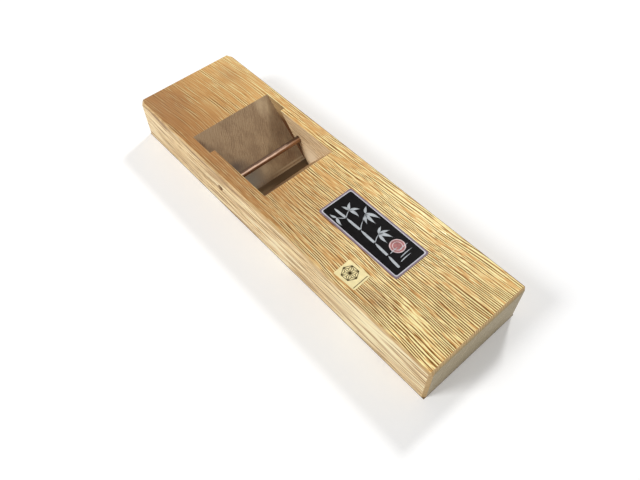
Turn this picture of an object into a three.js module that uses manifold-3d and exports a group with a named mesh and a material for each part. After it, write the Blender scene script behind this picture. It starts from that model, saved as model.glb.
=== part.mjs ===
// Body of a Japanese smoothing plane: one block of white oak with a sloping bed, two blade
// grooves, an open throat, a cross pin for the chip breaker and two labels on the top face.
// Millimetres, +Z up. The origin is the middle of the sole, and +X points to the front end,
// the one with the labels. The head, which is struck with a mallet, is at -X.

import * as THREE from 'three';
import { ConvexGeometry } from 'three/addons/geometries/ConvexGeometry.js';
import { mergeVertices } from 'three/addons/utils/BufferGeometryUtils.js';
import Module from 'manifold-3d';

const wasm = await Module();
wasm.setup();

const radians = THREE.MathUtils.degToRad;
const quarterTurn = Math.PI / 2;

// Block
const bodyLength = 280;
const bodyWidth = 79;
const bodyHeight = 32;
const topEdgeChamfer = 0.9;
const frontEndChamfer = 1.6;
const headEndChamfer = 0.9;
const soleEdgeChamfer = 0.6;
const cornerChamfer = 1.8;

// Facets that take the two top corners off the head
const headFacetLength = 6.8;
const headFacetWidth = 3.1;
const headFacetHeight = 4.8;
const headFacetCutterGrowth = 2;

// Bed: the slope that the back of the blade lies on, with a short flatter lip at its foot
const bedTopFromHead = 56.3;
const bedAngle = 37.7;
const bedLipLength = 3.6;
const bedLipHeight = 1.9;

// Throat between the cheeks, and the mouth slot in the sole
const cheekThickness = 11.1;
const mouthLength = 7;
const mouthLandHeight = 1.2;
const frontWallAngle = 52.2;

// Slot that holds the blade's two edges: its ends are the grooves in the cheeks
const grooveDepthAtTop = 3.7;
const grooveDepthAtSole = 1.9;
const slotGapAtSole = 5.6;
const bladeWedgeAngle = 10.7;

// Chip breaker pin and its cross hole
const pinDiameter = 4.6;
const pinEndChamfer = 0.5;
const pinRecess = 6;
const pinUpBed = 14.3;
const pinOffBed = 11.7;
const pinHoleClearance = 0.25;
const roundSides = 32;

// Labels
const glueLine = 0.05;
const blackLabelLength = 66.6;
const blackLabelWidth = 27.4;
const blackLabelThickness = 0.25;
const blackLabelCornerRadius = 1.4;
const blackLabelFromThroat = 31.4;
const blackLabelOffCentre = 2.3;
const paperLabelLength = 16.5;
const paperLabelWidth = 13.2;
const paperLabelThickness = 0.2;
const paperLabelCornerRadius = 0.8;
const paperLabelFromFront = 71.5;
const paperLabelFromSide = 11.7;
const paperLabelTurn = 2.5;
const cornerSteps = 6;

// How far every cutting shape runs past the surface that it cuts
const overrun = 5;

// Places that follow from the sizes above
const headX = -bodyLength / 2;
const frontX = bodyLength / 2;
const sideY = bodyWidth / 2;
const throatWidth = bodyWidth - 2 * cheekThickness;
const slotWidthAtTop = throatWidth + 2 * grooveDepthAtTop;
const slotWidthAtSole = throatWidth + 2 * grooveDepthAtSole;
const bedTopX = headX + bedTopFromHead;
const bedRun = (bodyHeight - bedLipHeight) / Math.tan(radians(bedAngle));
const bedLipX = bedTopX + bedRun;
const bedFootX = bedLipX + bedLipLength;
const mouthFrontX = bedFootX + mouthLength;
const frontWallRun = (bodyHeight - mouthLandHeight) / Math.tan(radians(frontWallAngle));
const throatFrontX = mouthFrontX + frontWallRun;
const slotFootX = bedFootX + slotGapAtSole;
const slotTopX = slotFootX - bodyHeight / Math.tan(radians(bedAngle + bladeWedgeAngle));

// Turns a list of [x, y] pairs into a closed flat shape
function outline(points) {
  return new THREE.Shape(points.map(([x, y]) => new THREE.Vector2(x, y)));
}

// Prism along X of an outline given in Y and Z
function prismAlongX(points, from, to) {
  const prism = new THREE.ExtrudeGeometry(outline(points), { depth: to - from, bevelEnabled: false });
  const toWorld = new THREE.Matrix4();
  toWorld.makeBasis(new THREE.Vector3(0, 1, 0), new THREE.Vector3(0, 0, 1), new THREE.Vector3(1, 0, 0));
  prism.applyMatrix4(toWorld);
  prism.translate(from, 0, 0);
  return prism;
}

// Prism along Y of an outline given in X and Z
function prismAlongY(points, from, to) {
  const prism = new THREE.ExtrudeGeometry(outline(points), { depth: to - from, bevelEnabled: false });
  const toWorld = new THREE.Matrix4();
  toWorld.makeBasis(new THREE.Vector3(1, 0, 0), new THREE.Vector3(0, 0, 1), new THREE.Vector3(0, -1, 0));
  prism.applyMatrix4(toWorld);
  prism.translate(0, to, 0);
  return prism;
}

// Prism along Z of an outline given in X and Y
function prismAlongZ(points, from, to) {
  const prism = new THREE.ExtrudeGeometry(outline(points), { depth: to - from, bevelEnabled: false });
  prism.translate(0, 0, from);
  return prism;
}

// Solid for joining and cutting, from a closed geometry
function solidOf(geometry) {
  const bare = geometry.clone();
  bare.deleteAttribute('normal');
  bare.deleteAttribute('uv');
  const merged = mergeVertices(bare);
  return new wasm.Manifold(
    new wasm.Mesh({
      numProp: 3,
      vertProperties: new Float32Array(merged.attributes.position.array),
      triVerts: new Uint32Array(merged.index.array),
    }),
  );
}

// Geometry with flat faces, from a finished solid
function geometryOf(solid) {
  const mesh = solid.getMesh();
  const indexed = new THREE.BufferGeometry();
  indexed.setAttribute('position', new THREE.BufferAttribute(new Float32Array(mesh.vertProperties), 3));
  indexed.setIndex(new THREE.BufferAttribute(new Uint32Array(mesh.triVerts), 1));
  const flat = indexed.toNonIndexed();
  flat.computeVertexNormals();
  return flat;
}

// Block with its edges taken off: the overlap of three chamfered prisms
function chamferedBlock() {
  const across = [
    [-sideY + soleEdgeChamfer, 0],
    [sideY - soleEdgeChamfer, 0],
    [sideY, soleEdgeChamfer],
    [sideY, bodyHeight - topEdgeChamfer],
    [sideY - topEdgeChamfer, bodyHeight],
    [-sideY + topEdgeChamfer, bodyHeight],
    [-sideY, bodyHeight - topEdgeChamfer],
    [-sideY, soleEdgeChamfer],
  ];
  const along = [
    [headX + soleEdgeChamfer, 0],
    [frontX - soleEdgeChamfer, 0],
    [frontX, soleEdgeChamfer],
    [frontX, bodyHeight - frontEndChamfer],
    [frontX - frontEndChamfer, bodyHeight],
    [headX + headEndChamfer, bodyHeight],
    [headX, bodyHeight - headEndChamfer],
    [headX, soleEdgeChamfer],
  ];
  const plan = [
    [headX + cornerChamfer, -sideY],
    [frontX - cornerChamfer, -sideY],
    [frontX, -sideY + cornerChamfer],
    [frontX, sideY - cornerChamfer],
    [frontX - cornerChamfer, sideY],
    [headX + cornerChamfer, sideY],
    [headX, sideY - cornerChamfer],
    [headX, -sideY + cornerChamfer],
  ];
  const lengthwise = solidOf(prismAlongX(across, headX, frontX));
  const crosswise = solidOf(prismAlongY(along, -sideY, sideY));
  const upright = solidOf(prismAlongZ(plan, 0, bodyHeight));
  return lengthwise.intersect(crosswise).intersect(upright);
}

// Corner cutter: a four-sided block whose inner face is the slanted facet at the head.
// It grows about the middle of that face, so the face itself stays in its plane.
function headFacetCutter(side) {
  const corner = new THREE.Vector3(headX, side * sideY, bodyHeight);
  const lengthPoint = new THREE.Vector3(headX + headFacetLength, side * sideY, bodyHeight);
  const widthPoint = new THREE.Vector3(headX, side * (sideY - headFacetWidth), bodyHeight);
  const heightPoint = new THREE.Vector3(headX, side * sideY, bodyHeight - headFacetHeight);
  const middle = new THREE.Vector3().add(lengthPoint).add(widthPoint).add(heightPoint).divideScalar(3);
  const grown = [corner, lengthPoint, widthPoint, heightPoint];
  for (const point of grown) {
    point.sub(middle).multiplyScalar(headFacetCutterGrowth).add(middle);
  }
  return solidOf(new ConvexGeometry(grown));
}

// Throat: the open space between the two cheeks, from the top face to the sole
function throatCutter() {
  const profile = [
    [bedTopX, bodyHeight + overrun],
    [bedTopX, bodyHeight],
    [bedLipX, bedLipHeight],
    [bedFootX, 0],
    [bedFootX, -overrun],
    [mouthFrontX, -overrun],
    [mouthFrontX, mouthLandHeight],
    [throatFrontX, bodyHeight],
    [throatFrontX, bodyHeight + overrun],
  ];
  return solidOf(prismAlongY(profile, -throatWidth / 2, throatWidth / 2));
}

// Slot for the blade: it shares the bed and runs into both cheeks as a pair of grooves.
// It is narrower at the sole than at the top, as the blade is.
function bladeSlotCutter() {
  const profile = [
    [bedTopX, bodyHeight + overrun],
    [bedTopX, bodyHeight],
    [bedLipX, bedLipHeight],
    [bedFootX, 0],
    [bedFootX, -overrun],
    [slotFootX, -overrun],
    [slotFootX, 0],
    [slotTopX, bodyHeight],
    [slotTopX, bodyHeight + overrun],
  ];
  const slot = prismAlongY(profile, -slotWidthAtTop / 2, slotWidthAtTop / 2);
  const places = slot.attributes.position;
  for (let i = 0; i < places.count; i += 1) {
    const rise = places.getZ(i) / bodyHeight;
    const width = THREE.MathUtils.lerp(slotWidthAtSole, slotWidthAtTop, rise);
    places.setY(i, (places.getY(i) * width) / slotWidthAtTop);
  }
  return solidOf(slot);
}

// Middle of the pin, counted from the bed's foot: up along the bed, then square off it
const pinX = bedFootX - pinUpBed * Math.cos(radians(bedAngle)) + pinOffBed * Math.sin(radians(bedAngle));
const pinZ = pinUpBed * Math.sin(radians(bedAngle)) + pinOffBed * Math.cos(radians(bedAngle));

// Cross hole through both cheeks
function pinHoleCutter() {
  const holeRadius = pinDiameter / 2 + pinHoleClearance;
  const hole = new THREE.CylinderGeometry(holeRadius, holeRadius, bodyWidth + 2 * overrun, roundSides);
  hole.translate(pinX, 0, pinZ);
  return solidOf(hole);
}

function planeBody() {
  const opening = throatCutter().add(bladeSlotCutter()).add(pinHoleCutter());
  const corners = headFacetCutter(1).add(headFacetCutter(-1));
  const body = chamferedBlock().subtract(opening).subtract(corners);
  const oak = new THREE.MeshStandardMaterial({ color: 0xd2a267, roughness: 0.6, metalness: 0 });
  const mesh = new THREE.Mesh(geometryOf(body), oak);
  mesh.name = 'plane_body';
  return mesh;
}

// Round rod with broken end edges, turned about its own axis and laid across the throat
function chipBreakerPin() {
  const radius = pinDiameter / 2;
  const halfLength = sideY - pinRecess;
  const profile = [
    new THREE.Vector2(0, -halfLength),
    new THREE.Vector2(radius - pinEndChamfer, -halfLength),
    new THREE.Vector2(radius, -halfLength + pinEndChamfer),
    new THREE.Vector2(radius, halfLength - pinEndChamfer),
    new THREE.Vector2(radius - pinEndChamfer, halfLength),
    new THREE.Vector2(0, halfLength),
  ];
  const copper = new THREE.MeshStandardMaterial({ color: 0x9a5a3c, roughness: 0.35, metalness: 0.9 });
  const mesh = new THREE.Mesh(new THREE.LatheGeometry(profile, roundSides), copper);
  mesh.name = 'chip_breaker_pin';
  mesh.position.set(pinX, 0, pinZ);
  return mesh;
}

// Flat label with rounded corners, its underside at height 0
function labelSheet(length, width, thickness, radius) {
  const shape = new THREE.Shape();
  const cornerX = length / 2 - radius;
  const cornerY = width / 2 - radius;
  shape.absarc(cornerX, cornerY, radius, 0, quarterTurn);
  shape.absarc(-cornerX, cornerY, radius, quarterTurn, 2 * quarterTurn);
  shape.absarc(-cornerX, -cornerY, radius, 2 * quarterTurn, 3 * quarterTurn);
  shape.absarc(cornerX, -cornerY, radius, 3 * quarterTurn, 4 * quarterTurn);
  shape.closePath();
  const settings = { depth: thickness, bevelEnabled: false, curveSegments: cornerSteps };
  return new THREE.ExtrudeGeometry(shape, settings);
}

function blackLabel() {
  const sheet = labelSheet(blackLabelLength, blackLabelWidth, blackLabelThickness, blackLabelCornerRadius);
  const film = new THREE.MeshStandardMaterial({ color: 0x1c1e21, roughness: 0.4, metalness: 0 });
  const mesh = new THREE.Mesh(sheet, film);
  mesh.name = 'black_label';
  const middleX = throatFrontX + blackLabelFromThroat + blackLabelLength / 2;
  mesh.position.set(middleX, blackLabelOffCentre, bodyHeight + glueLine);
  return mesh;
}

function paperLabel() {
  const sheet = labelSheet(paperLabelLength, paperLabelWidth, paperLabelThickness, paperLabelCornerRadius);
  const paper = new THREE.MeshStandardMaterial({ color: 0xeedca5, roughness: 0.8, metalness: 0 });
  const mesh = new THREE.Mesh(sheet, paper);
  mesh.name = 'paper_label';
  mesh.position.set(frontX - paperLabelFromFront, paperLabelFromSide - sideY, bodyHeight + glueLine);
  mesh.rotation.z = radians(paperLabelTurn);
  return mesh;
}

const group = new THREE.Group();
group.name = 'japanese_plane_body';
group.add(planeBody());
group.add(chipBreakerPin());
group.add(blackLabel());
group.add(paperLabel());

export default group;
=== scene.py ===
import math

import bmesh
import bpy
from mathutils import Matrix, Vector


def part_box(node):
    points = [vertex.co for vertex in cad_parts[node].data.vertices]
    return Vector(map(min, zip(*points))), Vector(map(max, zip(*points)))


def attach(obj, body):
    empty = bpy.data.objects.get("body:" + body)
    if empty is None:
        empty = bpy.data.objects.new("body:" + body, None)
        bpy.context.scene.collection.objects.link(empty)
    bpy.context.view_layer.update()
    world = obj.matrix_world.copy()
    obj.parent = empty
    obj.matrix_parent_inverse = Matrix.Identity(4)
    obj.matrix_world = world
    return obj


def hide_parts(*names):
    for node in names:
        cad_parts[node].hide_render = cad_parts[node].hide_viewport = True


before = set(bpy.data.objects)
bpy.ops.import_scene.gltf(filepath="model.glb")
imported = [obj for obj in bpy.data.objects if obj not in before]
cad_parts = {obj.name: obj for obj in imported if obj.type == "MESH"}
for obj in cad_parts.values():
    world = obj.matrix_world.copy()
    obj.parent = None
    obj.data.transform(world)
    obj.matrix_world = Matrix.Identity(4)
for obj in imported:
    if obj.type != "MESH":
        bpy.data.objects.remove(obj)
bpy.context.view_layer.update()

# Plane body. One block of Japanese white oak, planed on every face and left bare. The throat and
# the two blade grooves are sawn and chiselled into it, the arrises are broken with a plane, and
# the two top corners of the head are cut away so that the mallet doesn't split them.

MM = 0.001
WELD = 0.002 * MM

# Places of the Mix node's colour sockets, which share their names with its other sockets
MIX_SHARE, MIX_FIRST, MIX_SECOND, MIX_RESULT = 0, 6, 7, 2


def paint(red, green, blue):
    """A display colour of 0 to 255 as the linear colour that a shader takes, by the sRGB formula."""
    linear = []
    for channel in (red, green, blue):
        share = channel / 255
        linear.append(share / 12.92 if share <= 0.04045 else ((share + 0.055) / 1.055) ** 2.4)
    return (*linear, 1.0)


def add_node(tree, kind, inputs=None, **settings):
    """Adds a shader node, sets its options, and gives its sockets plain values or other outputs."""
    node = tree.nodes.new(kind)
    for name, value in settings.items():
        setattr(node, name, value)
    for socket, value in (inputs or {}).items():
        if isinstance(value, bpy.types.NodeSocket):
            tree.links.new(value, node.inputs[socket])
        else:
            node.inputs[socket].default_value = value
    return node


def maths(tree, operation, first, second=0.0, third=0.0):
    """The result of a Math node."""
    inputs = {0: first, 1: second, 2: third}
    return add_node(tree, "ShaderNodeMath", inputs, operation=operation).outputs["Value"]


def times(tree, *values):
    """All the values multiplied together."""
    result = values[0]
    for value in values[1:]:
        result = maths(tree, "MULTIPLY", result, value)
    return result


def plus(tree, base, value, share=1.0):
    """A base value with a share of another value added."""
    return maths(tree, "MULTIPLY_ADD", value, share, base)


def minus(tree, base, value):
    """A base value with another one taken off."""
    return maths(tree, "SUBTRACT", base, value)


def vector_maths(tree, operation, first, second=(0.0, 0.0, 0.0), output="Vector"):
    """The result of a Vector Math node."""
    inputs = {0: first, 1: second}
    return add_node(tree, "ShaderNodeVectorMath", inputs, operation=operation).outputs[output]


def scaled(tree, place, scale):
    """A place with each of its three directions multiplied by a number of its own."""
    return vector_maths(tree, "MULTIPLY", place, scale)


def per_mm(*counts):
    """Counts to a millimetre, as counts to a metre."""
    return tuple(count / MM for count in counts)


def object_place(tree):
    """The place on the object, in metres."""
    return tree.nodes.new("ShaderNodeTexCoord").outputs["Object"]


def parts(tree, place):
    """A place's X, Y and Z."""
    return add_node(tree, "ShaderNodeSeparateXYZ", {0: place}).outputs


def spread(tree, value, low, high, new_low=0.0, new_high=1.0):
    """Maps low..high smoothly onto new_low..new_high and stops at both ends."""
    inputs = {"Value": value, "From Min": low, "From Max": high, "To Min": new_low, "To Max": new_high}
    node = add_node(tree, "ShaderNodeMapRange", inputs, interpolation_type="SMOOTHSTEP")
    return node.outputs["Result"]


def fade(tree, part, start, end, first=0.0, last=1.0):
    """Goes smoothly from a first to a last value between two places in millimetres."""
    return spread(tree, part, start * MM, end * MM, first, last)


def ramp(tree, value, low, high):
    """Maps low..high evenly onto 0..1 and stops at both ends."""
    inputs = {"Value": value, "From Min": low, "From Max": high}
    return add_node(tree, "ShaderNodeMapRange", inputs, interpolation_type="LINEAR").outputs["Result"]


def cloud(tree, place, detail=1.0, roughness=0.5):
    """Soft noise with about one lump to each unit of the place."""
    inputs = {"Vector": place, "Scale": 1.0, "Detail": detail, "Roughness": roughness}
    return add_node(tree, "ShaderNodeTexNoise", inputs, noise_dimensions="3D").outputs["Fac"]


def blend(tree, share, first, second, way="MIX"):
    """The second colour laid over the first by a share of 0 to 1."""
    inputs = {MIX_SHARE: share, MIX_FIRST: first, MIX_SECOND: second}
    node = add_node(tree, "ShaderNodeMix", inputs, data_type="RGBA", blend_type=way, clamp_factor=True)
    return node.outputs[MIX_RESULT]


def effect(name, inputs, outputs):
    """An empty effect with named sockets: its tree, its inputs and its outputs as seen from inside."""
    tree = bpy.data.node_groups.new(name, "ShaderNodeTree")
    for label, value in inputs.items():
        kind = {float: "Float", tuple: "Color"}.get(type(value), "Vector")
        socket = tree.interface.new_socket(label, in_out="INPUT", socket_type="NodeSocket" + kind)
        if value is not None:
            socket.default_value = value
    for label, kind in outputs.items():
        tree.interface.new_socket(label, in_out="OUTPUT", socket_type="NodeSocket" + kind)
    return tree, tree.nodes.new("NodeGroupInput").outputs, tree.nodes.new("NodeGroupOutput").inputs


# How the fibres run, in millimetres. They sway a little, drift towards +Y and climb towards the
# front. From the throat forwards they fan out, and near the head's end they turn and dip instead.
BROAD_SWAY = 4.0
SMALL_SWAY = 0.3
SWAY_UP = 0.9
DRIFT = 0.058
CLIMB = 0.07
FAN = 0.0011
FAN_FROM = -15.0
FAN_EASE = 40.0
TURN = 0.12
TURN_FROM = -100.0
TURN_EASE = 20.0
RING_TILT = math.radians(36.0)

# Lumps of noise to a millimetre along, across and up
BROAD_LUMPS = (0.016, 0.028, 0.028)
SMALL_LUMPS = (0.03, 0.09, 0.09)
FIBRE_LUMPS = (0.045, 3.4, 1.8)
PHASE_LUMPS = (0.013, 0.13, 0.13)
BREAK_LUMPS = (0.05, 0.5, 0.35)
PORE_LUMPS = (0.12, 4.2, 3.0)
TONE_LUMPS = (0.012, 0.08, 0.05)
PATCH_LUMPS = (0.02, 0.09, 0.06)

# Sets of growth rings, each by its rings to a millimetre and its strength. A set's rings bunch up
# by its phase and are interrupted by its breaks, and both have smaller lumps in a later set.
RINGS = ((0.56, 0.085), (0.71, 0.09), (0.88, 0.15), (1.12, 0.21))
FINE_RINGS = 1.0
RING_STRETCH = 0.17
PHASE_SWING = 1.3
UNBROKEN = (0.36, 0.62)

# What each part adds to the mix, where the mix turns pale, deep or porous, and what pores do
FIBRE_SHARE = 0.45
TONE_SHARE = 0.12
SHEEN_SHARE = 0.06
LIVELY = (0.35, 0.65, 0.65, 1.3)
PALE_MIX = (0.47, 0.74)
PALE_GAIN = 0.55
PALE_BASE = 0.6
DEEP_MIX = (0.50, 0.26)
PORE_NOISE = (0.58, 0.72)
PORE_MIX = (0.62, 0.50)
PLANED_ROUGH = 0.55
PORE_ROUGH = 0.2
PORE_DEPTH = -0.5
PALE_ROUGH = -0.08


def stretched(lumps, stretch):
    """More lumps to a millimetre along and across the fibre, by a stretch of 1 or more."""
    along, across, up = lumps
    return along * stretch, across * stretch, up


def oak_grain():
    """The grain of the whole block in three directions, so that it runs on from face to face."""
    inputs = {
        "Place": None, "Contrast": 1.0, "Sheen": 0.0, "Brown": 0.0, "Pores": 1.0,
        "Closeness": 1.0, "Breaks": 1.0, "Fineness": 1.0, "Peaks": 1.0,
        "Pale": paint(255, 241, 176), "Body": paint(225, 173, 102), "Deep": paint(128, 82, 12),
        "Pore Tint": paint(112, 76, 28), "Brown Tint": paint(189, 174, 167),
    }
    outputs = {"Color": "Color", "Roughness": "Float", "Height": "Float"}
    tree, given, result = effect("oak grain", inputs, outputs)
    place = scaled(tree, given["Place"], per_mm(1, 1, 1))
    split = parts(tree, place)
    along, across, up = split["X"], split["Y"], split["Z"]

    broad = minus(tree, cloud(tree, scaled(tree, place, BROAD_LUMPS)), 0.5)
    small = minus(tree, cloud(tree, scaled(tree, place, SMALL_LUMPS)), 0.5)
    forward = maths(tree, "SMOOTH_MAX", minus(tree, along, FAN_FROM), 0.0, FAN_EASE)
    headward = maths(tree, "SMOOTH_MAX", minus(tree, TURN_FROM, along), 0.0, TURN_EASE)
    drift = plus(tree, times(tree, broad, BROAD_SWAY), small, SMALL_SWAY)
    drift = plus(tree, drift, forward, times(tree, across, FAN))
    drift = plus(tree, drift, along, DRIFT)
    rise = plus(tree, times(tree, small, SWAY_UP), along, CLIMB)
    rise = plus(tree, rise, headward, TURN)
    inputs = {"X": along, "Y": minus(tree, across, drift), "Z": minus(tree, up, rise)}
    straight = add_node(tree, "ShaderNodeCombineXYZ", inputs).outputs["Vector"]
    inputs = {"Vector": straight, "Rotation": (RING_TILT, 0.0, 0.0)}
    fibre = add_node(tree, "ShaderNodeMapping", inputs).outputs["Vector"]
    across_fibre = parts(tree, fibre)["Y"]

    mixed = cloud(tree, scaled(tree, fibre, FIBRE_LUMPS), detail=0.0)
    mixed = maths(tree, "MULTIPLY_ADD", mixed, FIBRE_SHARE, 0.5 - FIBRE_SHARE / 2)
    for number, (rings, strength) in enumerate(RINGS):
        stretch = 1 + RING_STRETCH * number
        phase = cloud(tree, scaled(tree, fibre, stretched(PHASE_LUMPS, stretch)), detail=0.0)
        passed = times(tree, across_fibre, given["Closeness"], rings)
        passed = plus(tree, passed, phase, PHASE_SWING)
        wave = maths(tree, "SINE", times(tree, passed, 2 * math.pi))
        inputs = {0: scaled(tree, fibre, stretched(BREAK_LUMPS, stretch)), "Scale": given["Breaks"]}
        breaks = add_node(tree, "ShaderNodeVectorMath", inputs, operation="SCALE").outputs["Vector"]
        kept = spread(tree, cloud(tree, breaks, detail=0.0), *UNBROKEN)
        if rings > FINE_RINGS:
            kept = times(tree, kept, given["Fineness"])
        mixed = plus(tree, mixed, times(tree, wave, kept), strength)
    tone = cloud(tree, scaled(tree, fibre, TONE_LUMPS), detail=2.0)
    mixed = plus(tree, mixed, minus(tree, tone, 0.5), TONE_SHARE)
    # Sheen pales the mix: painted sheen on the top face, and thinner dark lines on the sides
    mixed = plus(tree, mixed, given["Sheen"], SHEEN_SHARE)

    patchy = cloud(tree, scaled(tree, fibre, PATCH_LUMPS))
    lively = times(tree, spread(tree, patchy, *LIVELY), given["Contrast"])
    pale = maths(tree, "POWER", ramp(tree, mixed, *PALE_MIX), given["Peaks"])
    pale = times(tree, pale, lively, maths(tree, "MULTIPLY_ADD", given["Peaks"], PALE_GAIN, PALE_BASE))
    deep = times(tree, ramp(tree, mixed, *DEEP_MIX), lively)
    pore = cloud(tree, scaled(tree, fibre, PORE_LUMPS), roughness=0.6)
    pores = times(tree, spread(tree, pore, *PORE_NOISE), spread(tree, mixed, *PORE_MIX), given["Pores"])
    colour = blend(tree, pale, given["Body"], given["Pale"])
    colour = blend(tree, deep, colour, given["Deep"])
    colour = blend(tree, pores, colour, given["Pore Tint"])
    colour = blend(tree, given["Brown"], colour, given["Brown Tint"], "MULTIPLY")
    rough = plus(tree, plus(tree, PLANED_ROUGH, pores, PORE_ROUGH), pale, PALE_ROUGH)
    tree.links.new(colour, result["Color"])
    tree.links.new(rough, result["Roughness"])
    tree.links.new(plus(tree, mixed, pores, PORE_DEPTH), result["Height"])
    return tree


grain = oak_grain()


def new_material(name):
    """A new material, its tree and its shader."""
    material = bpy.data.materials.new(name)
    material.use_nodes = True
    return material, material.node_tree, material.node_tree.nodes["Principled BSDF"]


def add_relief(tree, shader, height, depth):
    """Bumps a surface by a height value times a depth in metres."""
    bump = add_node(tree, "ShaderNodeBump", {"Height": height, "Distance": depth})
    tree.links.new(bump.outputs["Normal"], shader.inputs["Normal"])


OAK_SPECULAR = 0.3


def oak(name, relief, **values):
    """A bare oak surface: the block's grain in this surface's own colours, and its depth of relief."""
    material, tree, shader = new_material(name)
    shader.inputs["Specular IOR Level"].default_value = OAK_SPECULAR
    wood = add_node(tree, "ShaderNodeGroup", node_tree=grain)
    tree.links.new(object_place(tree), wood.inputs["Place"])
    for label, value in values.items():
        wood.inputs[label.replace("_", " ")].default_value = value
    tree.links.new(wood.outputs["Color"], shader.inputs["Base Color"])
    tree.links.new(wood.outputs["Roughness"], shader.inputs["Roughness"])
    add_relief(tree, shader, wood.outputs["Height"], relief)
    return material


def opened(material):
    """An oak material's tree, its grain's inputs, the place on the block and that place's X, Y and Z."""
    tree = material.node_tree
    wood = next(node for node in tree.nodes if node.type == "GROUP")
    place = object_place(tree)
    return tree, wood.inputs, place, parts(tree, place)


def lay_over(material, share, colour):
    """Lays a colour over an oak material's grain by a share of 0 to 1."""
    tree = material.node_tree
    base = tree.nodes["Principled BSDF"].inputs["Base Color"]
    tree.links.new(blend(tree, share, base.links[0].from_socket, colour), base)


def patch(tree, place, centre, reach):
    """1 at the centre of an oval spot, falling to 0 at its reach, all in millimetres."""
    offset = vector_maths(tree, "SUBTRACT", place, tuple(share * MM for share in centre))
    offset = scaled(tree, offset, per_mm(*[1 / share for share in reach]))
    return spread(tree, vector_maths(tree, "LENGTH", offset, output="Value"), 1.0, 0.0)


def spots(tree, place, base, *marks):
    """A base value with soft spots added, each by its centre and reach in millimetres and its strength."""
    for centre, reach, strength in marks:
        base = plus(tree, base, patch(tree, place, centre, reach), strength)
    return base


body_low, body_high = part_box("plane_body")
TOP_LEVEL = body_high.z / MM
TOP_SPOT_DEPTH = 20


def top_spots(tree, place, base, marks):
    """spots() on the top face, where a mark is x, y, its reach along and across, and its strength."""
    for x, y, along, across, strength in marks:
        reach = (along, across, TOP_SPOT_DEPTH)
        base = spots(tree, place, base, ((x, y, TOP_LEVEL), reach, strength))
    return base


# Top face. The head is browner, mostly on its left, partly from hands and partly as painted shade
# where it catches less sheen. The front end is pale and crisp. Painted sheen pales the top towards
# +Y and in a few spots, and is lowered in two others.
# A fade is two places in millimetres, and its values there where they aren't 0 and 1.
BROWN_ALONG = (130, -60)
BROWN_ACROSS = (30, -35, 0.3, 1.0)
BROWN_SPOTS = (
    (88, -30, 22, 12, 0.5), (116, 0, 44, 50, 0.2), (-112, 22, 34, 26, 0.2), (-120, 25, 18, 10, 0.3),
    (-121, -18, 15, 9, 0.3), (83, 27, 2.2, 0.9, 1.0),
)
CRISP_ALONG = (-45, 80, 0.85, 2.05)
CRISP_SPOTS = ((112, -26, 44, 20, 1.8), (0, 26, 45, 22, 0.9))
CALM_IN_BROWN = -0.3
PORES_ALONG = (-10, 70, 0.0, 0.35)
FINE_ALONG = (-60, 80, 0.2, 1.5)
PAINTED_SHEEN_ACROSS = (0, 36, 0.15, 1.05)
PAINTED_SHEEN_SPOTS = (
    (60, 34, 45, 14, 1.0), (112, -22, 17, 6, 2.2), (118, 24, 34, 24, 0.3), (-112, 22, 34, 26, 0.7),
    (-46, 37, 44, 9, -0.8), (0, 26, 45, 22, -0.5),
)
DARK_SPOTS = ((-124, -32, 34, 26, 0.45), (-40, -36, 50, 9, 0.2))
HEAD_EDGE_SHADE = (-138.9, -139.4, 0.0, 0.75)

oak_top = oak("oak_top", relief=0.28 * MM, Breaks=0.7, Peaks=2.4)
tree, wood, place, split = opened(oak_top)
# Browner towards the head and its left, partly from hands and partly as painted shade, and in spots
brown = times(tree, fade(tree, split["X"], *BROWN_ALONG), fade(tree, split["Y"], *BROWN_ACROSS))
brown = top_spots(tree, place, brown, BROWN_SPOTS)
tree.links.new(brown, wood["Brown"])
crisp = top_spots(tree, place, fade(tree, split["X"], *CRISP_ALONG), CRISP_SPOTS)
tree.links.new(times(tree, crisp, plus(tree, 1.0, brown, CALM_IN_BROWN)), wood["Contrast"])
tree.links.new(fade(tree, split["X"], *PORES_ALONG), wood["Pores"])
tree.links.new(fade(tree, split["X"], *FINE_ALONG), wood["Fineness"])
# Painted sheen: the grain turns paler towards +Y and in spots, and less pale in two
painted_sheen = top_spots(tree, place, fade(tree, split["Y"], *PAINTED_SHEEN_ACROSS), PAINTED_SHEEN_SPOTS)
tree.links.new(painted_sheen, wood["Sheen"])
lay_over(oak_top, top_spots(tree, place, 0.0, DARK_SPOTS), paint(158, 116, 74))
# A thin band of painted shade along the head's edge, for its rounded arris in shadow
lay_over(oak_top, fade(tree, split["X"], *HEAD_EDGE_SHADE), paint(118, 88, 56))

# Sides and sole. Brown and bleached streaks run along them, and the far side is calmer. The near
# side is browned under its top edge at the head, and has a painted highlight near the front end.
SIDE_SHEEN = 0.9
SIDE_PAINTED_SHEEN = ((90, -39, 17), (60, 20, 24), 0.6)
NEAR_SIDE = (20, -20, 0.6, 1.0)
SIDE_CRISP_ALONG = (-20, 50, 1.3, 2.0)
STREAK_LUMPS = (0.03, 0.36, 0.36)
BROWN_STREAKS = (0.50, 0.66)
STREAK_BROWN = 0.68
UNDER_EDGE = (26, 31)
UNDER_EDGE_ALONG = (0, -40)
EDGE_BROWN = 0.6
BLEACHED_STREAKS = (0.50, 0.34)
BLEACHED_ALONG = (-130, 40, 0.4, 0.8)
SIDE_HIGHLIGHT_SPOT = ((92, -39, 19), (46, 20, 24), 0.85)
HIGHLIGHT_STREAKS = (0.64, 0.46)

oak_side = oak("oak_side", relief=0.08 * MM, Pale=paint(244, 218, 168), Body=paint(222, 188, 140),
               Deep=paint(156, 118, 72), Pores=0.5, Closeness=0.72, Breaks=0.55, Fineness=0.7)
tree, wood, place, split = opened(oak_side)
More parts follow.
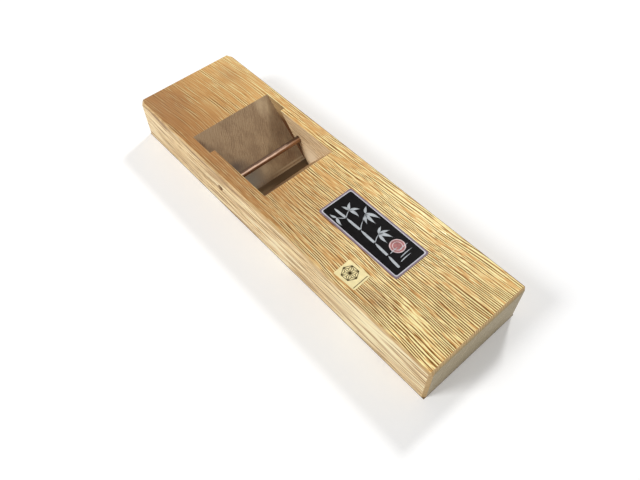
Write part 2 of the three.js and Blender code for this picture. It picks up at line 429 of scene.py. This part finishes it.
# Painted sheen near the front end of the near side
tree.links.new(spots(tree, place, SIDE_SHEEN, SIDE_PAINTED_SHEEN), wood["Sheen"])
near_side = fade(tree, split["Y"], *NEAR_SIDE)
crisp = fade(tree, split["X"], *SIDE_CRISP_ALONG)
tree.links.new(times(tree, crisp, near_side), wood["Contrast"])
streaks = cloud(tree, scaled(tree, place, per_mm(*STREAK_LUMPS)), detail=2.0, roughness=0.55)
under_edge = times(tree, fade(tree, split["Z"], *UNDER_EDGE), fade(tree, split["X"], *UNDER_EDGE_ALONG))
brown = plus(tree, times(tree, under_edge, EDGE_BROWN), spread(tree, streaks, *BROWN_STREAKS), STREAK_BROWN)
tree.links.new(times(tree, brown, near_side), wood["Brown"])
bleached = times(tree, spread(tree, streaks, *BLEACHED_STREAKS), fade(tree, split["X"], *BLEACHED_ALONG))
lay_over(oak_side, bleached, paint(255, 242, 204))
# A streaked painted highlight near the front end of the near side
side_highlight = times(tree, spots(tree, place, 0.0, SIDE_HIGHLIGHT_SPOT), spread(tree, streaks, *HIGHLIGHT_STREAKS))
lay_over(oak_side, side_highlight, paint(255, 242, 200))

# End faces. Their end grain is greyer, with wider rings.
oak_end = oak("oak_end", relief=0.05 * MM, Pale=paint(206, 192, 162), Body=paint(188, 174, 144),
              Deep=paint(166, 149, 116), Contrast=1.1, Pores=0.6, Closeness=0.55)

# Bed. It is darkened unevenly by use. Painted shade darkens it high on its right, in the right
# cheek's shadow, low on its right and at the left notch. Low on its left lies a grey painted
# shadow with cool light in it, and above that a dark painted shadow. Painted light brightens its
# top right corner and the place over the mouth, and painted highlights run along its lip's edges.
MOTTLE_LUMPS = (0.09, 0.16, 0.12)
BROWN_MOTTLE = (0.40, 0.66, 0.0, 0.4)
BED_SHADE_SPOTS = (
    ((-66, 24, 20), (20, 13, 16), 0.45), ((-50, 22, 6), (10, 10, 8), 0.4), ((-77, -31, 27), (6, 4, 6), 0.9),
)
GREY_SHADOW_SPOT = ((-47, -18, 5), (14, 26, 13), 0.9)
DARK_SHADOW_SPOT = ((-58, -20, 12), (7, 14, 7), 0.9)
LIT_SPOTS = (((-78, 24, 28), (16, 8, 13), 0.9), ((-47, 3, 4), (9, 15, 7), 0.8))
LIT_MOTTLE = (0.35, 0.60, 1.0, 0.5)
LIP_EDGES = (-43.6, -41.7)
LIP_HIGHLIGHT = (0.7, 0.3)
LIP_HIGHLIGHT_ACROSS = (-4, 12, 0.0, 0.7)

oak_bed = oak("oak_bed", relief=0.06 * MM, Pale=paint(176, 149, 114), Body=paint(152, 125, 93),
              Deep=paint(128, 100, 73), Contrast=0.45, Pores=0.2)
tree, wood, place, split = opened(oak_bed)
mottle = cloud(tree, scaled(tree, place, per_mm(*MOTTLE_LUMPS)), detail=3.0, roughness=0.6)
# The mottle is stain from use, and the spots are painted shade
brown = spots(tree, place, spread(tree, mottle, *BROWN_MOTTLE), *BED_SHADE_SPOTS)
tree.links.new(brown, wood["Brown"])
# A grey painted shadow low on the left, and a dark painted shadow above it
lay_over(oak_bed, spots(tree, place, 0.0, GREY_SHADOW_SPOT), paint(136, 130, 117))
lay_over(oak_bed, spots(tree, place, 0.0, DARK_SHADOW_SPOT), paint(98, 82, 70))
# Painted light at the bed's top right corner and over the mouth
painted_light = times(tree, spots(tree, place, 0.0, *LIT_SPOTS), spread(tree, mottle, *LIT_MOTTLE))
lay_over(oak_bed, painted_light, paint(190, 164, 128))
# Painted highlights along the two edges of the lip, within 0.7 mm of each
lip_highlight = 0.0
for edge in LIP_EDGES:
    off_edge = maths(tree, "ABSOLUTE", minus(tree, split["X"], edge * MM))
    lip_highlight = plus(tree, lip_highlight, fade(tree, off_edge, *LIP_HIGHLIGHT))
lip_highlight = times(tree, lip_highlight, fade(tree, split["Y"], *LIP_HIGHLIGHT_ACROSS))
lay_over(oak_bed, lip_highlight, paint(188, 164, 130))

# Cheeks. They are paler than the bed, and painted light brightens them low on the right over the
# pin's shadow. A strip of painted shade, which widens upwards, lies along the lower part of the
# blade groove's front edge, for the groove's shaded wall and the pin's shadow.
GROOVE_FOOT = -35.56
GROOVE_SLOPE = math.radians(48.4)
SHADE_WIDENING = -0.27
SHADE_EDGE = (-0.7, -1.3)
SHADE_BELOW = (19, 14)
PAINTED_LIGHT_SPOT = ((-31, 28, 8), (15, 8, 14), 0.9)

oak_cheek = oak("oak_cheek", relief=0.05 * MM, Pale=paint(240, 214, 174), Body=paint(219, 190, 148),
                Deep=paint(188, 154, 114), Contrast=1.0, Pores=0.3)
tree, wood, place, split = opened(oak_cheek)
ahead = times(tree, minus(tree, split["X"], GROOVE_FOOT * MM), math.sin(GROOVE_SLOPE))
ahead = plus(tree, ahead, split["Z"], math.cos(GROOVE_SLOPE))
ahead = plus(tree, ahead, split["Z"], SHADE_WIDENING)
# A strip of painted shade along the groove's front edge, below the pin
groove_shade = times(tree, fade(tree, ahead, *SHADE_EDGE), fade(tree, split["Z"], *SHADE_BELOW))
lay_over(oak_cheek, groove_shade, paint(96, 68, 46))
# Painted light low on the right cheek, over the pin's shadow
lay_over(oak_cheek, spots(tree, place, 0.0, PAINTED_LIGHT_SPOT), paint(255, 234, 200))

# Grooves, front wall and arrises. The grooves and the front wall have darker colours for painted
# shade, the grooves darken downwards with it, and the wall darkens to the left. The arrises are
# browned along the right side, along the head with painted shade, and greyer over the front end.
GROOVE_SHADE_DOWN = (27, 19)
WALL_BROWN_ACROSS = (28, -10)
HEAD_ARRIS_SHADE = (-137, -138.5)
RIGHT_ARRIS_BROWN = (38, 39)
DARK_ARRIS_UP = (30, 31.5, 0.0, 0.6)
FRONT_ARRIS_ALONG = (138.9, 139.9)
FRONT_ARRIS_UP = (29, 30)
FRONT_ARRIS_ACROSS = (-37.5, -36, 0.0, 0.8)

oak_groove = oak("oak_groove", relief=0.05 * MM, Pale=paint(196, 166, 118), Body=paint(180, 148, 102),
                 Deep=paint(150, 118, 78), Contrast=0.6, Pores=0.3, Brown_Tint=paint(140, 110, 90))
tree, wood, place, split = opened(oak_groove)
# Painted shade, deeper down the grooves
tree.links.new(fade(tree, split["Z"], *GROOVE_SHADE_DOWN), wood["Brown"])

# The front wall's darker colours are painted shade
oak_wall = oak("oak_wall", relief=0.05 * MM, Pale=paint(200, 164, 120), Body=paint(176, 140, 98),
               Deep=paint(126, 95, 63), Contrast=0.6, Pores=0.3, Brown_Tint=paint(150, 138, 126))
tree, wood, place, split = opened(oak_wall)
tree.links.new(fade(tree, split["Y"], *WALL_BROWN_ACROSS), wood["Brown"])

oak_arris = oak("oak_arris", relief=0.04 * MM, Pale=paint(226, 194, 146), Body=paint(208, 174, 122),
                Deep=paint(172, 134, 88), Contrast=0.7, Pores=0.4, Brown_Tint=paint(104, 80, 60))
tree, wood, place, split = opened(oak_arris)
# Browned along the right side, and along the head as painted shade for its rounding in shadow
darker_arris = maths(tree, "MAXIMUM", fade(tree, split["X"], *HEAD_ARRIS_SHADE), fade(tree, split["Y"], *RIGHT_ARRIS_BROWN))
tree.links.new(times(tree, darker_arris, fade(tree, split["Z"], *DARK_ARRIS_UP)), wood["Brown"])
over_front = times(tree, fade(tree, split["X"], *FRONT_ARRIS_ALONG), fade(tree, split["Z"], *FRONT_ARRIS_UP))
over_front = times(tree, over_front, fade(tree, split["Y"], *FRONT_ARRIS_ACROSS))
lay_over(oak_arris, over_front, paint(176, 158, 124))

oaks = (oak_top, oak_side, oak_end, oak_bed, oak_cheek, oak_groove, oak_wall, oak_arris)
TOP, SIDE, END, BED, CHEEK, GROOVE, WALL, ARRIS = range(len(oaks))

ARRIS_ROUNDING = 0.22 * MM
FLAT_TURN = math.radians(1)
SHARP_TURN = math.radians(20)
SHADED_SHARP = math.radians(35)


def merged_copy(node):
    """A copy of a CAD node's mesh with its loose triangles merged into whole faces."""
    shape = bmesh.new()
    shape.from_mesh(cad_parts[node].data)
    bmesh.ops.remove_doubles(shape, verts=shape.verts, dist=WELD)
    bmesh.ops.dissolve_limit(shape, angle_limit=FLAT_TURN, verts=shape.verts, edges=shape.edges)
    return shape


def ease_edges(shape, rounding):
    """Rounds every edge where the surface turns sharply."""
    edges = [edge for edge in shape.edges if edge.is_manifold]
    edges = [edge for edge in edges if edge.calc_face_angle() > SHARP_TURN]
    bmesh.ops.bevel(shape, geom=edges, offset=rounding, offset_type="OFFSET", segments=2, profile=0.5,
                    affect="EDGES", clamp_overlap=True, material=-1)


def placed(name, shape, materials, body):
    """A finished piece: its mesh, its materials and the body that it rides."""
    mesh = bpy.data.meshes.new(name)
    shape.to_mesh(mesh)
    shape.free()
    mesh.set_sharp_from_angle(angle=SHADED_SHARP)
    for material in materials:
        mesh.materials.append(material)
    piece = bpy.data.objects.new(name, mesh)
    bpy.context.scene.collection.objects.link(piece)
    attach(piece, body)
    return piece


block = merged_copy("plane_body")
ease_edges(block, ARRIS_ROUNDING)
hole_middle = sum(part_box("chip_breaker_pin"), Vector()) / 2

HOLE_REACH = 3 * MM
GROOVE_FROM = 28.9 * MM
END_DEPTH = 10 * MM
SIDE_DEPTH = 3 * MM
SKIN = MM
SQUARE_ON = 0.98
SLOPING = 0.3
ROUND_THE_HOLE = 0.5


def oak_of(face):
    """Which of the oaks a face of the block shows, by where it lies and where it looks."""
    normal = face.normal
    middle = face.calc_center_median()
    clear_of_ends = body_low.x + END_DEPTH < middle.x < body_high.x - END_DEPTH
    inside = clear_of_ends and abs(middle.y) < body_high.y - SIDE_DEPTH
    if normal.z > SQUARE_ON and middle.z > body_high.z - SKIN:
        return TOP
    if normal.z < -SQUARE_ON and middle.z < body_low.z + SKIN:
        return SIDE
    if abs(normal.y) > SQUARE_ON and abs(middle.y) > body_high.y - SKIN:
        return SIDE
    if abs(normal.x) > SQUARE_ON and not inside:
        return END
    if (middle.xz - hole_middle.xz).length < HOLE_REACH and abs(normal.y) < ROUND_THE_HOLE:
        return CHEEK
    if inside and abs(middle.y) > GROOVE_FROM:
        return GROOVE
    if inside and normal.x > SLOPING:
        return BED
    if inside and normal.x < -SLOPING:
        return WALL
    if inside and middle.z < body_high.z - SKIN:
        return CHEEK
    return ARRIS


for face in block.faces:
    face.smooth = True
    face.material_index = oak_of(face)
plane_block = placed("plane_block", block, oaks, "plane")
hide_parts("plane_body")

# Chip breaker pin. A drawn rod of copper-coloured metal with its end edges broken, driven through
# both cheeks in front of the bed. It has dulled. A painted highlight runs along it where it faces
# up and forwards, and it is painted darker towards the bed and paler underneath, for its shade
# and the light thrown back onto it.

METAL_SHARE = 0.6
TARNISH_LUMPS = (0.5, 0.16, 0.5)
DRAW_LINE_LUMPS = (7.0, 0.25, 7.0)
DRAW_LINE_DEPTH = 0.02 * MM
HIGHLIGHT_ANGLE = 52.0
BED_ANGLE = 142.0
UNEVENNESS = 0.10
HIGHLIGHT_FACING = (0.955, 0.996)
HIGHLIGHT_ALONG = (26, -4, 0.5, 1.0)
PAINTED_SHADE_FACING = (-0.5, 0.6)
DULL_ROUGHNESS = 0.36
HIGHLIGHT_ROUGHNESS = -0.16

rod_low, rod_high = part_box("chip_breaker_pin")
rod_radius = (rod_high.x - rod_low.x) / 2
rod_length = rod_high.y - rod_low.y
rod_middle = (rod_low + rod_high) / 2


def facing(tree, place, angle):
    """How far the rod's surface faces an angle above +X, from -1 to 1."""
    offset = vector_maths(tree, "SUBTRACT", place, tuple(rod_middle))
    unit = vector_maths(tree, "NORMALIZE", scaled(tree, offset, (1.0, 0.0, 1.0)))
    aim = (math.cos(math.radians(angle)), 0.0, math.sin(math.radians(angle)))
    return vector_maths(tree, "DOT_PRODUCT", unit, aim, output="Value")


copper, tree, shader = new_material("copper_painted_highlight")
shader.inputs["Metallic"].default_value = METAL_SHARE
place = object_place(tree)
split = parts(tree, place)
tarnish = cloud(tree, scaled(tree, place, per_mm(*TARNISH_LUMPS)), detail=3.0, roughness=0.6)
draw_line = cloud(tree, scaled(tree, place, per_mm(*DRAW_LINE_LUMPS)))
# A painted highlight where the rod faces up and forwards, fading towards +Y
uneven = plus(tree, facing(tree, place, HIGHLIGHT_ANGLE), minus(tree, tarnish, 0.5), UNEVENNESS)
painted_light = times(tree, spread(tree, uneven, *HIGHLIGHT_FACING), fade(tree, split["Y"], *HIGHLIGHT_ALONG))
# Painted darker on the side towards the bed and paler underneath, for shade and light thrown back
painted_shade = spread(tree, facing(tree, place, BED_ANGLE), *PAINTED_SHADE_FACING)
dull = blend(tree, painted_shade, paint(160, 120, 90), paint(98, 73, 56))
tree.links.new(blend(tree, painted_light, dull, paint(234, 196, 170)), shader.inputs["Base Color"])
tree.links.new(plus(tree, DULL_ROUGHNESS, painted_light, HIGHLIGHT_ROUGHNESS), shader.inputs["Roughness"])
add_relief(tree, shader, draw_line, DRAW_LINE_DEPTH)

ROD_STEPS = 64
ROD_END_ROUNDING = 0.5 * MM
rod = bmesh.new()
bmesh.ops.create_cone(rod, cap_ends=True, segments=ROD_STEPS, radius1=rod_radius, radius2=rod_radius,
                      depth=rod_length)
upright_to_across = Vector((0, 0, 1)).rotation_difference(Vector((0, 1, 0))).to_matrix()
bmesh.ops.rotate(rod, verts=rod.verts, matrix=upright_to_across)
bmesh.ops.translate(rod, verts=rod.verts, vec=rod_middle)
rims = [edge for edge in rod.edges if abs(edge.verts[0].co.y - edge.verts[1].co.y) < WELD]
bmesh.ops.bevel(rod, geom=rims, offset=ROD_END_ROUNDING, offset_type="OFFSET", segments=3, profile=0.5,
                affect="EDGES", clamp_overlap=True, material=-1)
for face in rod.faces:
    face.smooth = True
pin_rod = placed("pin_rod", rod, [copper], "pin")
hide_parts("chip_breaker_pin")

# Black label. A printed film, stuck to the top face in front of the throat: a black field inside a
# silver line and a mauve-grey edge, with bamboo in silver over a low pale red sun.

LUMPS = 0.25
SPECKS = 3.0
SPECK_DEPTH = 0.01 * MM
MOTTLE_SWING = 2.5
MOTTLE_LIFT = 0.02
MOTTLE_NOISE = (0.3, 0.7)
GLOSS_SWING = 0.2


def coated(name, colour, roughness, specular, mottle=0.06):
    """A printed surface or paper with a faint mottle, fine specks and a slightly uneven gloss."""
    material, tree, shader = new_material(name)
    shader.inputs["Specular IOR Level"].default_value = specular
    place = object_place(tree)
    lumps = cloud(tree, scaled(tree, place, per_mm(LUMPS, LUMPS, LUMPS)), detail=3.0, roughness=0.6)
    specks = cloud(tree, scaled(tree, place, per_mm(SPECKS, SPECKS, SPECKS)))
    swing = MOTTLE_SWING * mottle
    darker = [channel * (1 - swing) for channel in colour[:3]]
    paler = [min(1.0, channel * (1 + swing) + MOTTLE_LIFT * mottle) for channel in colour[:3]]
    shade = blend(tree, spread(tree, lumps, *MOTTLE_NOISE), (*darker, 1.0), (*paler, 1.0))
    tree.links.new(shade, shader.inputs["Base Color"])
    rough = plus(tree, roughness - GLOSS_SWING / 2, lumps, GLOSS_SWING)
    tree.links.new(rough, shader.inputs["Roughness"])
    add_relief(tree, shader, specks, SPECK_DEPTH)
    return material


film_black = coated("film_black", paint(10, 8, 9), roughness=0.42, specular=0.04, mottle=0.12)
film_silver = coated("film_silver", paint(188, 186, 193), roughness=0.4, specular=0.4)
film_edge = coated("film_edge", paint(124, 106, 116), roughness=0.5, specular=0.3)
print_silver = coated("print_silver", paint(172, 177, 181), roughness=0.45, specular=0.25)
print_red = coated("print_red", paint(158, 100, 98), roughness=0.5, specular=0.25, mottle=0.12)
print_pink = coated("print_pink", paint(204, 178, 178), roughness=0.5, specular=0.25, mottle=0.1)

FILM_EDGE = 1.05 * MM
SILVER_LINE = 0.65 * MM
CORNER_ROUNDING = 1.3 * MM
SHEET = 0.01 * MM
PRINT_THICKNESS = 0.02 * MM

film = merged_copy("black_label")
film_low, film_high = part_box("black_label")
film_size = film_high - film_low
film_middle = (film_low + film_high) / 2
film_top = film_high.z - PRINT_THICKNESS - SHEET
film_face = film_top - 2 * SHEET
for vert in film.verts:
    if vert.co.z > film_middle.z:
        vert.co.z = film_face
label_film = placed("label_film", film, [film_edge], "plane")
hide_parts("black_label")


def rounded_sheet(middle, length, width, rounding):
    """A flat rectangle with round corners."""
    sheet = bmesh.new()
    corners = bmesh.ops.create_grid(sheet, x_segments=1, y_segments=1, size=0.5)["verts"]
    for vert in corners:
        vert.co = middle + Vector((vert.co.x * length, vert.co.y * width, 0.0))
    bmesh.ops.bevel(sheet, geom=corners, offset=rounding, offset_type="OFFSET", segments=6, profile=0.5,
                    affect="VERTICES", clamp_overlap=True, material=-1)
    return sheet


def raise_print(shape, thickness):
    """Gives flat print its thickness and closes it underneath."""
    bmesh.ops.remove_doubles(shape, verts=shape.verts, dist=WELD)
    walls = bmesh.ops.extrude_face_region(shape, geom=shape.faces[:])["geom"]
    tops = [item for item in walls if isinstance(item, bmesh.types.BMVert)]
    bmesh.ops.translate(shape, verts=tops, vec=(0, 0, thickness))
    bmesh.ops.recalc_face_normals(shape, faces=shape.faces)


sheets = (("label_line", film_silver, FILM_EDGE), ("label_field", film_black, FILM_EDGE + SILVER_LINE))
for number, (name, material, inset) in enumerate(sheets):
    level = Vector((film_middle.x, film_middle.y, film_face + number * SHEET))
    sheet = rounded_sheet(level, film_size.x - 2 * inset, film_size.y - 2 * inset, CORNER_ROUNDING)
    raise_print(sheet, SHEET)
    placed(name, sheet, [material], "plane")


def on_label(up, right):
    """A point on the film, up from its middle towards the head and right towards +Y, in millimetres."""
    return Vector((film_middle.x - up * MM, film_middle.y + right * MM, film_top))


SUN_PLACE = (-17.5, 3.4)
SUN_RADIUS = 5.0 * MM
SUN_STEPS = 48
SUN_RINGS = (0.7 * MM, 1.1 * MM, 0.5 * MM)
disc = bmesh.new()
bmesh.ops.create_circle(disc, cap_ends=True, segments=SUN_STEPS, radius=SUN_RADIUS)
bmesh.ops.translate(disc, verts=disc.verts, vec=on_label(*SUN_PLACE))
sun_face = disc.faces[:]
for number, ring in enumerate(SUN_RINGS):
    for face in bmesh.ops.inset_region(disc, faces=sun_face, thickness=ring, use_boundary=True)["faces"]:
        face.material_index = 1 - number % 2
raise_print(disc, PRINT_THICKNESS / 2)
placed("label_sun", disc, [print_red, print_pink], "plane")

# The brush lands at a stroke's heel, swells in its middle and lifts off over the last quarter
STROKE_STEPS = 12
SWELL_RUN = 1.15
SWELL_SHAPE = 0.75
LIFT_OFF = 4.0
LIFT_SHAPE = 0.7


def brush_stroke(shape, start, tip, width, sag, heel):
    """A flat stroke of ink, all in millimetres, from start to tip. It swells from its heel and may sag."""
    strip = bmesh.ops.create_grid(shape, x_segments=STROKE_STEPS, y_segments=2, size=0.5)["verts"]
    start = on_label(*start)
    line = on_label(*tip) - start
    side = Vector((-line.y, line.x, 0.0)).normalized()
    for vert in strip:
        run = vert.co.x + 0.5
        swell = heel + (1 - heel) * math.sin(math.pi * min(1.0, run * SWELL_RUN) ** SWELL_SHAPE)
        swell = swell * min(1.0, max(0.0, 1.0 - run) * LIFT_OFF) ** LIFT_SHAPE
        offset = (vert.co.y * width * swell + sag * 4 * run * (1 - run)) * MM
        vert.co = start + line * run + side * offset


motif = bmesh.new()
CULM = ((-29.0, -6.6), (-18.5, -5.6), (-7.0, -4.9), (5.5, -4.6), (18.0, -4.7), (28.5, -5.2))
NODE_GAP = 0.35
for (foot, foot_right), (head, head_right) in zip(CULM, CULM[1:]):
    start = (foot + NODE_GAP, foot_right)
    tip = (head - NODE_GAP, head_right)
    brush_stroke(motif, start, tip, width=1.7, sag=0.12, heel=0.85)
twigs = (
    ((5.5, -4.2), (9.5, 1.5), 0.55, 0.4), ((9.5, 1.5), (12.5, 6.2), 0.45, 0.3),
    ((18.0, -4.4), (21.0, 0.8), 0.5, 0.4), ((-7.0, -4.4), (-4.0, 1.4), 0.5, 0.3),
    ((18.0, -5.0), (22.0, -9.0), 0.5, 0.3),
)
for start, tip, width, sag in twigs:
    brush_stroke(motif, start, tip, width, sag, heel=0.7)
leaves = (
    ((12.5, 6.2), (3.2, 10.4), 2.3, 0.7), ((12.5, 6.2), (2.2, 5.6), 2.2, -0.5),
    ((12.3, 6.0), (5.4, 1.2), 2.0, -0.6), ((12.6, 6.4), (16.4, 11.0), 1.8, 0.4),
    ((21.0, 0.8), (12.8, 1.6), 2.1, 0.6), ((21.0, 0.8), (16.8, 6.6), 1.9, 0.5),
    ((21.2, 0.8), (25.6, 5.8), 1.8, 0.5), ((21.0, 0.7), (26.6, -1.2), 1.7, -0.4),
    ((-4.0, 1.4), (-11.8, 6.2), 2.2, 0.6), ((-4.0, 1.4), (-6.6, 8.6), 1.9, 0.5),
    ((-4.0, 1.4), (-12.4, 0.6), 2.0, -0.5), ((-3.8, 1.4), (-0.6, 7.0), 1.7, 0.4),
    ((22.0, -9.0), (15.0, -10.6), 1.9, -0.5), ((22.0, -9.0), (26.8, -10.4), 1.6, 0.3),
)
for start, tip, width, sag in leaves:
    brush_stroke(motif, start, tip, width, sag, heel=0.1)
mist = ((-18.6, -3.6, 3.2), (-20.4, 1.6, 9.8), (-24.4, -1.0, 9.2), (-26.6, -3.0, 6.0))
MIST_RISE = 0.4
for up, left, right in mist:
    brush_stroke(motif, (up, left), (up + MIST_RISE, right), width=0.6, sag=0.25, heel=0.5)
raise_print(motif, PRINT_THICKNESS)
placed("label_print", motif, [print_silver], "plane")

# Paper label. A small slip of cream paper, pasted beside the black one a little askew, with a
# hemp-leaf pattern and one ruled line printed on it in dark olive ink.

paper = coated("cream_paper", paint(238, 222, 168), roughness=0.75, specular=0.2, mottle=0.03)
ink = coated("olive_ink", paint(74, 60, 22), roughness=0.7, specular=0.2)
slip = merged_copy("paper_label")
slip_low, slip_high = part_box("paper_label")
paper_slip = placed("paper_slip", slip, [paper], "plane")
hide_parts("paper_label")

SLIP_TURN = math.radians(2.5)
PATTERN_CENTRE = (-1.5 * MM, 0.0)
PATTERN_RADIUS = 5.3 * MM
PATTERN_SIDES = 6
INK_WIDTH = 0.42 * MM
RULE_WIDTH = 0.45 * MM
RULE_INSET = 1.6 * MM
RULE_ENDS = (-5.9 * MM, 5.7 * MM)
slip_middle = (slip_low + slip_high) / 2


def on_slip(forward, left):
    """A point on the slip, forward of its middle and left of it, turned as the slip is."""
    turned_x = forward * math.cos(SLIP_TURN) - left * math.sin(SLIP_TURN)
    turned_y = forward * math.sin(SLIP_TURN) + left * math.cos(SLIP_TURN)
    return Vector((slip_middle.x + turned_x, slip_middle.y + turned_y, slip_high.z))


def ruled_line(shape, start, end, width):
    """A straight line of even width between two points of the slip."""
    strip = bmesh.ops.create_grid(shape, x_segments=1, y_segments=1, size=0.5)["verts"]
    start = on_slip(*start)
    line = on_slip(*end) - start
    side = Vector((-line.y, line.x, 0.0)).normalized()
    for vert in strip:
        vert.co = start + line * (vert.co.x + 0.5) + side * (vert.co.y * width)


ruling = bmesh.new()
centre_x, centre_y = PATTERN_CENTRE
corners = []
for step in range(PATTERN_SIDES):
    angle = 2 * math.pi * step / PATTERN_SIDES
    corners.append((centre_x + PATTERN_RADIUS * math.cos(angle), centre_y + PATTERN_RADIUS * math.sin(angle)))
for first, second in zip(corners, corners[1:] + corners[:1]):
    middle = ((centre_x + first[0] + second[0]) / 3, (centre_y + first[1] + second[1]) / 3)
    for start, end in ((PATTERN_CENTRE, first), (first, second), (middle, PATTERN_CENTRE), (middle, first),
                       (middle, second)):
        ruled_line(ruling, start, end, INK_WIDTH)
rule_at = slip_high.x - slip_middle.x - RULE_INSET
ruled_line(ruling, (rule_at, RULE_ENDS[0]), (rule_at, RULE_ENDS[1]), RULE_WIDTH)
raise_print(ruling, PRINT_THICKNESS)
placed("slip_print", ruling, [ink], "plane")

# Studio. A plain floor under a white sky, a large soft lamp on the head's left and a smaller one on
# its right, and the camera where the photographer held it. Beside the block the floor glows a little
# for the camera, so that it shows white. Under it the floor is painted a deep brown, paler to the
# left, as the shade seen through the mouth.

FLOOR_REACH = 4.0
FLOOR_DROP = 0.05 * MM
FLOOR_ROUGHNESS = 0.9
FLOOR_WHITE = (0.86, 0.86, 0.86, 1.0)
FLOOR_GLOW = 0.18
MOUTH_SHADE_LEFT = (0.225, 0.152, 0.084, 1.0)
MOUTH_SHADE_RIGHT = (0.142, 0.092, 0.050, 1.0)
MOUTH_SHADE_ACROSS = (12, -22)
WHITE = (1.0, 1.0, 1.0, 1.0)
SKY_LIGHT = 0.42

floor_mesh = bpy.data.meshes.new("floor")
floor_shape = bmesh.new()
bmesh.ops.create_grid(floor_shape, x_segments=1, y_segments=1, size=FLOOR_REACH)
floor_shape.to_mesh(floor_mesh)
floor_shape.free()
floor = bpy.data.objects.new("floor", floor_mesh)
floor.location.z = -FLOOR_DROP
bpy.context.scene.collection.objects.link(floor)
floor_white, tree, shader = new_material("floor_white")
shader.inputs["Roughness"].default_value = FLOOR_ROUGHNESS
shader.inputs["Specular IOR Level"].default_value = 0.0
shader.inputs["Emission Color"].default_value = WHITE
camera_ray = tree.nodes.new("ShaderNodeLightPath").outputs["Is Camera Ray"]
split = parts(tree, object_place(tree))
past_end = maths(tree, "GREATER_THAN", maths(tree, "ABSOLUTE", split["X"]), body_high.x)
past_side = maths(tree, "GREATER_THAN", maths(tree, "ABSOLUTE", split["Y"]), body_high.y)
beside = maths(tree, "MAXIMUM", past_end, past_side)
tree.links.new(times(tree, camera_ray, beside, FLOOR_GLOW), shader.inputs["Emission Strength"])
# Painted shade under the block, seen through the mouth
mouth_shade = blend(tree, fade(tree, split["Y"], *MOUTH_SHADE_ACROSS), MOUTH_SHADE_RIGHT, MOUTH_SHADE_LEFT)
tree.links.new(blend(tree, beside, mouth_shade, FLOOR_WHITE), shader.inputs["Base Color"])
floor_mesh.materials.append(floor_white)

world = bpy.data.worlds.new("white sky")
bpy.context.scene.world = world
world.use_nodes = True
tree = world.node_tree
sky = tree.nodes["Background"]
sky.inputs["Color"].default_value = WHITE
rays = tree.nodes.new("ShaderNodeLightPath").outputs
seen = maths(tree, "MAXIMUM", rays["Is Camera Ray"], rays["Is Glossy Ray"])
seen = maths(tree, "MAXIMUM", seen, rays["Is Transmission Ray"])
tree.links.new(plus(tree, SKY_LIGHT, seen, 1 - SKY_LIGHT), sky.inputs["Strength"])


def soft_lamp(name, place, size, power):
    """A round lamp of a given size that looks at the middle of the floor."""
    lamp = bpy.data.lights.new(name, "AREA")
    lamp.shape = "DISK"
    lamp.size = size
    lamp.energy = power
    holder = bpy.data.objects.new(name, lamp)
    holder.location = place
    holder.rotation_euler = (-Vector(place)).to_track_quat("-Z", "Y").to_euler()
    bpy.context.scene.collection.objects.link(holder)


soft_lamp("left lamp", place=(-0.47, -1.25, 1.15), size=0.6, power=15.9)
soft_lamp("right lamp", place=(-0.5, 1.35, 1.40), size=0.3, power=17.0)

CAMERA_PLACE = (0.19538, -0.15935, 0.32127)
CAMERA_TURN = (35.554, 0.746, 48.462)
FOCAL_LENGTH = 33.762
SENSOR_WIDTH = 36.0
lens = bpy.data.cameras.new("camera")
lens.sensor_width = SENSOR_WIDTH
lens.lens = FOCAL_LENGTH
camera = bpy.data.objects.new("camera", lens)
camera.location = CAMERA_PLACE
camera.rotation_euler = [math.radians(angle) for angle in CAMERA_TURN]
bpy.context.scene.collection.objects.link(camera)
bpy.context.scene.camera = camera
bpy.context.scene.view_settings.view_transform = "Standard"
